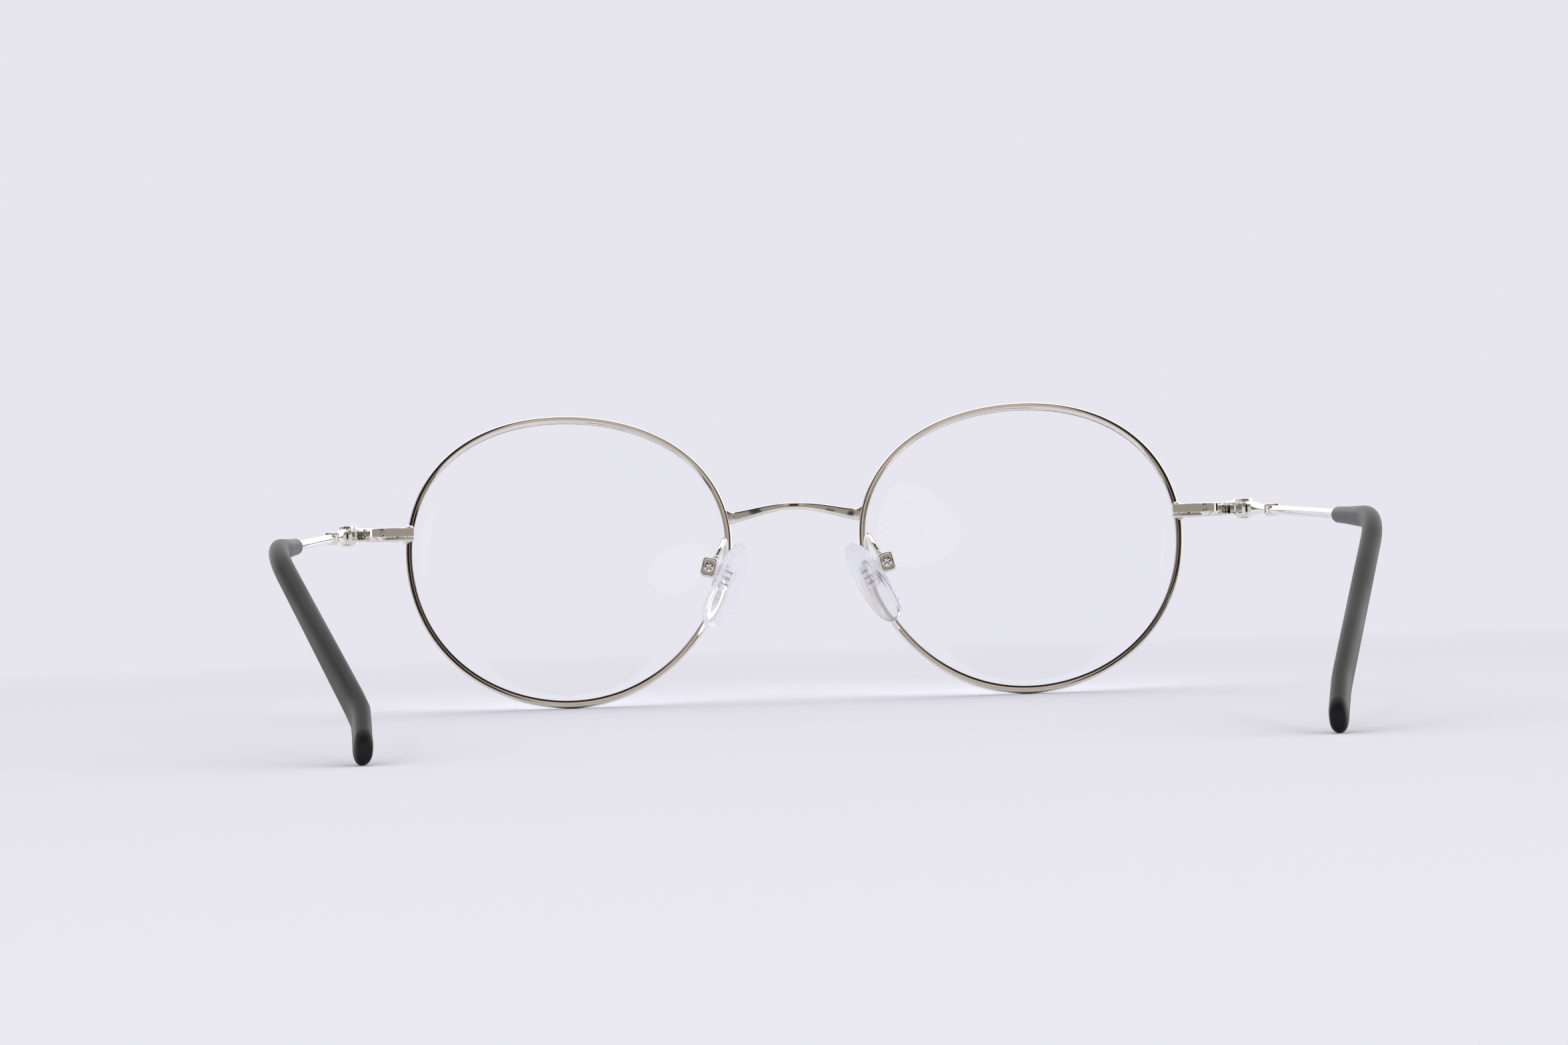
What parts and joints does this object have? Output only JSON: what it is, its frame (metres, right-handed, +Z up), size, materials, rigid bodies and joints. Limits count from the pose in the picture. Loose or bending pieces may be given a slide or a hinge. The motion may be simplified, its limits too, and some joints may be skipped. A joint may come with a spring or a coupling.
{
  "type": "round wire eyeglasses",
  "caption": "Round thin-wire spectacles with clear lenses, a slim arched bridge, silicone nose pads on wire arms and folding wire temples with dark plastic tips.",
  "frame": {"origin": "middle of the footprint, on the surface that the rims and the temple tips stand on", "axes": "+Y the way the wearer looks, +X to the wearer's right, +Z up"},
  "size_m": [0.1336, 0.1586, 0.0442],
  "materials": {
    "polished_metal": "polished silver-coloured plating",
    "lens_clear": "clear plastic demo lens",
    "tip_plastic": "black satin-gloss temple tip",
    "pad_silicone": "clear soft silicone",
    "pad_core": "clear moulded insert"
  },
  "bodies": {
    "frame": {"bridge": "polished_metal", "left_rim": "polished_metal", "left_lens": "lens_clear", "left_endpiece": "polished_metal", "left_rim_lock_upper": "polished_metal", "left_rim_lock_lower": "polished_metal", "left_rim_lock_screw": "polished_metal", "left_front_hinge": "polished_metal", "left_hinge_screw": "polished_metal", "left_pad_arm": "polished_metal", "left_pad_box": "polished_metal", "left_pad_screw": "polished_metal", "right_rim": "polished_metal", "right_lens": "lens_clear", "right_endpiece": "polished_metal", "right_rim_lock_upper": "polished_metal", "right_rim_lock_lower": "polished_metal", "right_rim_lock_screw": "polished_metal", "right_front_hinge": "polished_metal", "right_hinge_screw": "polished_metal", "right_pad_arm": "polished_metal", "right_pad_box": "polished_metal", "right_pad_screw": "polished_metal"},
    "left_temple": {"left_temple_bar": "polished_metal", "left_temple_collar": "polished_metal", "left_temple_hinge": "polished_metal", "left_tip_sleeve": "tip_plastic"},
    "right_temple": {"right_temple_bar": "polished_metal", "right_temple_collar": "polished_metal", "right_temple_hinge": "polished_metal", "right_tip_sleeve": "tip_plastic"},
    "left_pad": {"left_nose_pad": "pad_silicone", "left_pad_insert": "pad_core"},
    "right_pad": {"right_nose_pad": "pad_silicone", "right_pad_insert": "pad_core"}
  },
  "joints": [
    {"name": "left_temple_fold", "type": "hinge", "parent": "frame", "child": "left_temple", "pos_m": [-0.0656, 0.06064, 0.02655], "axis": [0, -0.0492, 0.9988], "range_deg": [0, 87]},
    {"name": "right_temple_fold", "type": "hinge", "parent": "frame", "child": "right_temple", "pos_m": [0.0656, 0.06064, 0.02655], "axis": [0, 0.0492, -0.9988], "range_deg": [0, 83]},
    {"name": "left_pad_rock", "type": "hinge", "parent": "frame", "child": "left_pad", "pos_m": [-0.01315, 0.06604, 0.02035], "axis": [0, 1, 0], "range_deg": [-9, 7]},
    {"name": "right_pad_rock", "type": "hinge", "parent": "frame", "child": "right_pad", "pos_m": [0.01315, 0.06604, 0.02035], "axis": [0, -1, 0], "range_deg": [-14, 2]}
  ]
}
